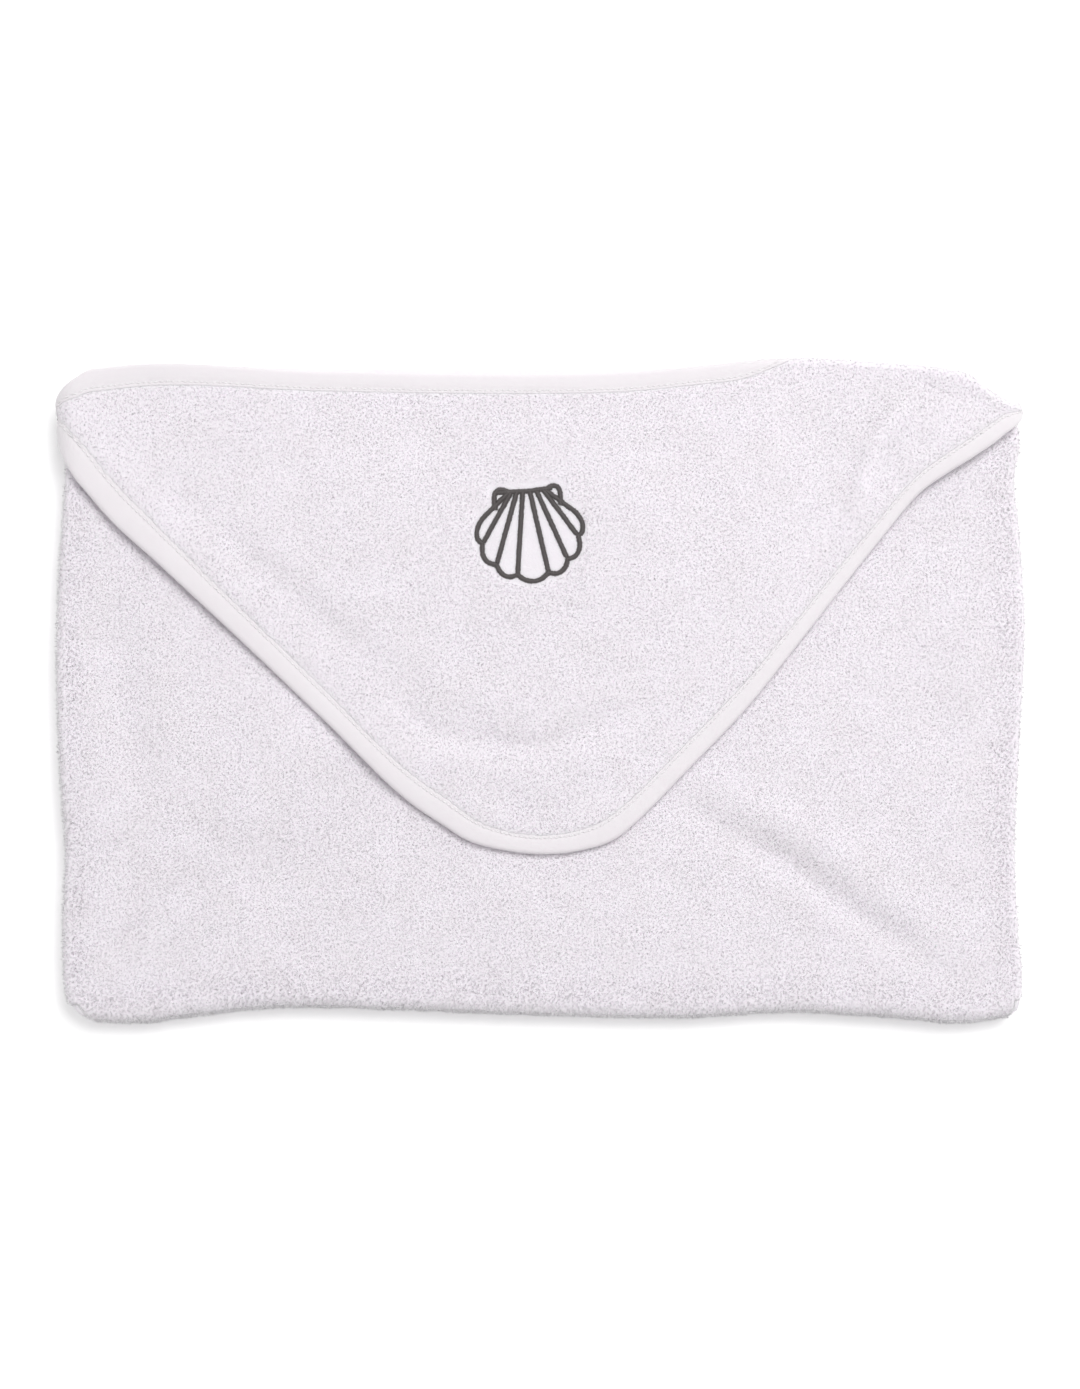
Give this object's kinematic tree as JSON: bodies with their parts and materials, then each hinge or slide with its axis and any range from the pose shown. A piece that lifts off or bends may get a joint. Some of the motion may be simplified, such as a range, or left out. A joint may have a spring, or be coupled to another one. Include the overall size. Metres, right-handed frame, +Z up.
{
  "type": "hooded baby towel",
  "caption": "White terry hooded baby towel folded flat, hood corner on top as a bound flap with a dark embroidered scallop.",
  "frame": {"origin": "middle of the folded towel's footprint, on the surface that it lies on", "axes": "+X to the right along the hood's front edge, +Y from the doubled edge to the hood's front edge, +Z up through the layers"},
  "size_m": [0.455, 0.308, 0.0345],
  "materials": {
    "terry": "fabric",
    "tape": "fabric",
    "white_thread": "fabric",
    "dark_thread": "fabric",
    "backing": "fabric"
  },
  "bodies": {
    "middle_half": {"middle_panel": "terry", "middle_wing_left": "terry", "middle_wing_right": "terry", "middle_wing_binding_left": "tape", "middle_wing_binding_right": "tape", "middle_corner_binding_left": "tape", "middle_corner_binding_right": "tape", "middle_side_fold_left": "terry", "middle_side_fold_right": "terry", "bottom_fold": "terry", "wing_fold_left": "terry", "wing_fold_right": "terry", "tail_fold": "terry"},
    "front_half": {"front_panel": "terry", "front_wing_left": "terry", "front_wing_right": "terry", "front_wing_binding_left": "tape", "front_wing_binding_right": "tape", "front_side_fold_left": "terry", "front_side_fold_right": "terry", "top_fold": "terry"},
    "hood_flap": {"towel_corner": "terry", "hood_panel": "terry", "hood_front_binding": "tape", "corner_binding": "tape", "hood_front_stitching": "white_thread", "corner_stitching": "white_thread", "shell_outline": "dark_thread", "shell_ribs": "dark_thread", "embroidery_backing": "backing"},
    "tail": {"tail_panel": "terry", "tail_binding": "tape"}
  },
  "joints": [
    {"name": "body_fold_hinge", "type": "hinge", "parent": "middle_half", "child": "front_half", "pos_m": [0, -0.1527, 0.01725], "axis": [1, 0, 0], "range_deg": [0, 180], "deforming": ["bottom_fold", "wing_fold_left", "wing_fold_right"]},
    {"name": "hood_flap_hinge", "type": "hinge", "parent": "front_half", "child": "hood_flap", "pos_m": [0, 0.1527, 0.02185], "axis": [-1, 0, 0], "range_deg": [0, 180], "deforming": ["top_fold"]},
    {"name": "tail_fold_hinge", "type": "hinge", "parent": "middle_half", "child": "tail", "pos_m": [0, 0.1447, 0.00595], "axis": [-1, 0, 0], "range_deg": [0, 90], "deforming": ["tail_fold"]}
  ],
  "couplings": [
    {"joint": "tail_fold_hinge", "follows": "body_fold_hinge", "ratio": 0.5}
  ]
}
